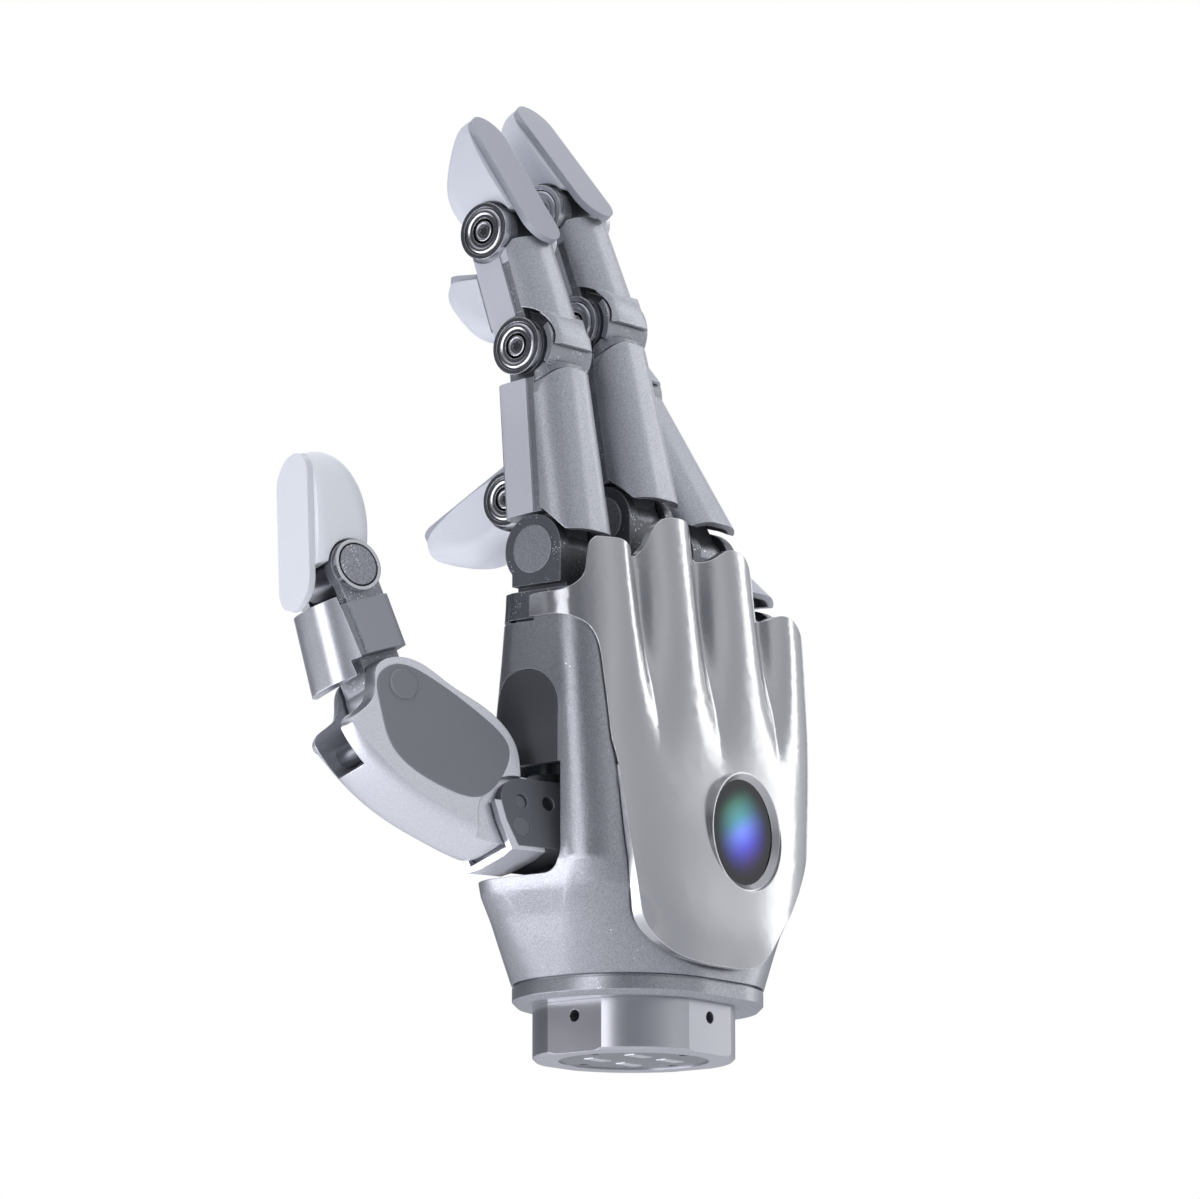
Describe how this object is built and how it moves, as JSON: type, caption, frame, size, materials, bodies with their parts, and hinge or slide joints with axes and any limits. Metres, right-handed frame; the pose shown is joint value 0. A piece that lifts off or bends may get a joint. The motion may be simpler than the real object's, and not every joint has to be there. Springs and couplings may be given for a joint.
{
  "type": "dexterous robot hand",
  "caption": "Five-digit robot hand with jointed fingers, opposable thumb, ribbed palm cover with a round glowing window and a flanged wrist boss.",
  "frame": {"origin": "centre of the wrist boss's lower ring face", "axes": "+Z from the wrist to the fingertips, -Y towards the back of the hand, +Y towards the palm, -X to the thumb side"},
  "size_m": [0.1235, 0.107, 0.2045],
  "materials": {
    "satin_grey": "satin grey metallic paint with fine flake",
    "silver_cover": "glossy silver paint under clear coat",
    "satin_silver": "satin silver paint",
    "dark_grey": "smooth dark grey",
    "frame_metal": "bead-blasted and anodised grey",
    "boss_metal": "satin anodised",
    "bright_steel": "polished",
    "soft_white": "matt soft white",
    "nail_white": "smooth light grey",
    "dark_glass": "dark glass with a blue glow behind",
    "black_plastic": "matt black",
    "contact_metal": "gold-flashed"
  },
  "bodies": {
    "palm": {"wrist_boss": "boss_metal", "contact_plate": "black_plastic", "contact_pads": "contact_metal", "wrist_flange": "satin_grey", "palm_housing": "satin_grey", "side_panel": "dark_grey", "palm_plate": "satin_grey", "back_cover": "silver_cover", "window_bezel": "bright_steel", "window_lens": "dark_glass", "knuckle_chassis": "frame_metal", "pivot_pins": "bright_steel", "finger_drives": "frame_metal"},
    "index_knuckle": {"index_knuckle": "satin_grey", "index_knuckle_pin": "bright_steel"},
    "index_proximal": {"index_proximal_frame": "frame_metal", "index_proximal_shell": "satin_silver"},
    "index_middle": {"index_middle_frame": "frame_metal", "index_middle_shell": "satin_silver", "index_joint_caps": "bright_steel"},
    "index_distal": {"index_fingertip": "soft_white", "index_nail": "nail_white"},
    "middle_knuckle": {"middle_knuckle": "satin_grey", "middle_knuckle_pin": "bright_steel"},
    "middle_proximal": {"middle_proximal_frame": "frame_metal", "middle_proximal_shell": "satin_silver"},
    "middle_middle": {"middle_middle_frame": "frame_metal", "middle_middle_shell": "satin_silver", "middle_joint_caps": "bright_steel"},
    "middle_distal": {"middle_fingertip": "soft_white", "middle_nail": "nail_white"},
    "ring_knuckle": {"ring_knuckle": "satin_grey", "ring_knuckle_pin": "bright_steel"},
    "ring_proximal": {"ring_proximal_frame": "frame_metal", "ring_proximal_shell": "satin_silver"},
    "ring_middle": {"ring_middle_frame": "frame_metal", "ring_middle_shell": "satin_silver", "ring_joint_caps": "bright_steel"},
    "ring_distal": {"ring_fingertip": "soft_white", "ring_nail": "nail_white"},
    "little_knuckle": {"little_knuckle": "satin_grey", "little_knuckle_pin": "bright_steel"},
    "little_proximal": {"little_proximal_frame": "frame_metal", "little_proximal_shell": "satin_silver"},
    "little_middle": {"little_middle_frame": "frame_metal", "little_middle_shell": "satin_silver", "little_joint_caps": "bright_steel"},
    "little_distal": {"little_fingertip": "soft_white", "little_nail": "nail_white"},
    "thumb_base": {"thumb_bracket": "dark_grey", "thumb_yoke": "satin_silver", "thumb_bracket_screws": "bright_steel"},
    "thumb_metacarpal": {"thumb_metacarpal_shell": "satin_silver", "thumb_metacarpal_cover": "dark_grey", "thumb_pins": "bright_steel"},
    "thumb_proximal": {"thumb_proximal_frame": "frame_metal", "thumb_proximal_shell": "satin_silver", "thumb_joint_caps": "bright_steel"},
    "thumb_distal": {"thumb_tip": "soft_white", "thumb_nail": "nail_white"}
  },
  "joints": [
    {"name": "index_spread", "type": "hinge", "parent": "palm", "child": "index_knuckle", "pos_m": [-0.0285, -0.002, 0.0878], "axis": [0, 1, 0], "range_deg": [-3, 1]},
    {"name": "index_base", "type": "hinge", "parent": "index_knuckle", "child": "index_proximal", "pos_m": [-0.0285, -0.002, 0.1018], "axis": [-1, 0, 0], "range_deg": [-5, 80]},
    {"name": "index_middle", "type": "hinge", "parent": "index_proximal", "child": "index_middle", "pos_m": [-0.0285, 0.00175, 0.14464], "axis": [-1, 0, 0], "range_deg": [-14, 76]},
    {"name": "index_tip", "type": "hinge", "parent": "index_middle", "child": "index_distal", "pos_m": [-0.0285, 0.01054, 0.17017], "axis": [-1, 0, 0], "range_deg": [0, 58]},
    {"name": "middle_spread", "type": "hinge", "parent": "palm", "child": "middle_knuckle", "pos_m": [-0.008, -0.004, 0.0965], "axis": [0, 1, 0], "range_deg": [-1.5, 1.5]},
    {"name": "middle_base", "type": "hinge", "parent": "middle_knuckle", "child": "middle_proximal", "pos_m": [-0.008, -0.004, 0.1105], "axis": [-1, 0, 0], "range_deg": [-9.5, 75.5]},
    {"name": "middle_middle", "type": "hinge", "parent": "middle_proximal", "child": "middle_middle", "pos_m": [-0.008, 0.0031, 0.15291], "axis": [-1, 0, 0], "range_deg": [-11, 79]},
    {"name": "middle_tip", "type": "hinge", "parent": "middle_middle", "child": "middle_distal", "pos_m": [-0.008, 0.01255, 0.1782], "axis": [-1, 0, 0], "range_deg": [-4, 54]},
    {"name": "ring_spread", "type": "hinge", "parent": "palm", "child": "ring_knuckle", "pos_m": [0.0126, -0.0047, 0.0916], "axis": [0, 1, 0], "range_deg": [-1.2, 1.2]},
    {"name": "ring_base", "type": "hinge", "parent": "ring_knuckle", "child": "ring_proximal", "pos_m": [0.0126, -0.0047, 0.1056], "axis": [-1, 0, 0], "range_deg": [-27.5, 57.5]},
    {"name": "ring_middle", "type": "hinge", "parent": "ring_proximal", "child": "ring_middle", "pos_m": [0.0126, 0.01516, 0.14374], "axis": [-1, 0, 0], "range_deg": [-12, 78]},
    {"name": "ring_tip", "type": "hinge", "parent": "ring_middle", "child": "ring_distal", "pos_m": [0.0126, 0.03233, 0.16457], "axis": [-1, 0, 0], "range_deg": [-31, 27]},
    {"name": "little_spread", "type": "hinge", "parent": "palm", "child": "little_knuckle", "pos_m": [0.0318, -0.0026, 0.078], "axis": [0, 1, 0], "range_deg": [-1, 8]},
    {"name": "little_base", "type": "hinge", "parent": "little_knuckle", "child": "little_proximal", "pos_m": [0.0318, -0.0026, 0.092], "axis": [-1, 0, 0], "range_deg": [-43.2, 41.8]},
    {"name": "little_middle", "type": "hinge", "parent": "little_proximal", "child": "little_middle", "pos_m": [0.0318, 0.02684, 0.12335], "axis": [-1, 0, 0], "range_deg": [-36, 54]},
    {"name": "little_tip", "type": "hinge", "parent": "little_middle", "child": "little_distal", "pos_m": [0.0318, 0.05336, 0.1284], "axis": [-1, 0, 0], "range_deg": [-24, 34]},
    {"name": "thumb_turn", "type": "hinge", "parent": "palm", "child": "thumb_base", "pos_m": [-0.022, 0.004, 0.046], "axis": [0, 0, 1], "range_deg": [-45, 6]},
    {"name": "thumb_root", "type": "hinge", "parent": "thumb_base", "child": "thumb_metacarpal", "pos_m": [-0.0415, 0.002, 0.0417], "axis": [-0.2703, -0.9421, 0.1982], "range_deg": [-2, 8]},
    {"name": "thumb_middle", "type": "hinge", "parent": "thumb_metacarpal", "child": "thumb_proximal", "pos_m": [-0.06453, 0.01432, 0.06885], "axis": [-0.2703, -0.9421, 0.1982], "range_deg": [-30, 3]},
    {"name": "thumb_tip", "type": "hinge", "parent": "thumb_proximal", "child": "thumb_distal", "pos_m": [-0.07081, 0.02123, 0.09312], "axis": [-0.2703, -0.9421, 0.1982], "range_deg": [-45, 0]}
  ]
}
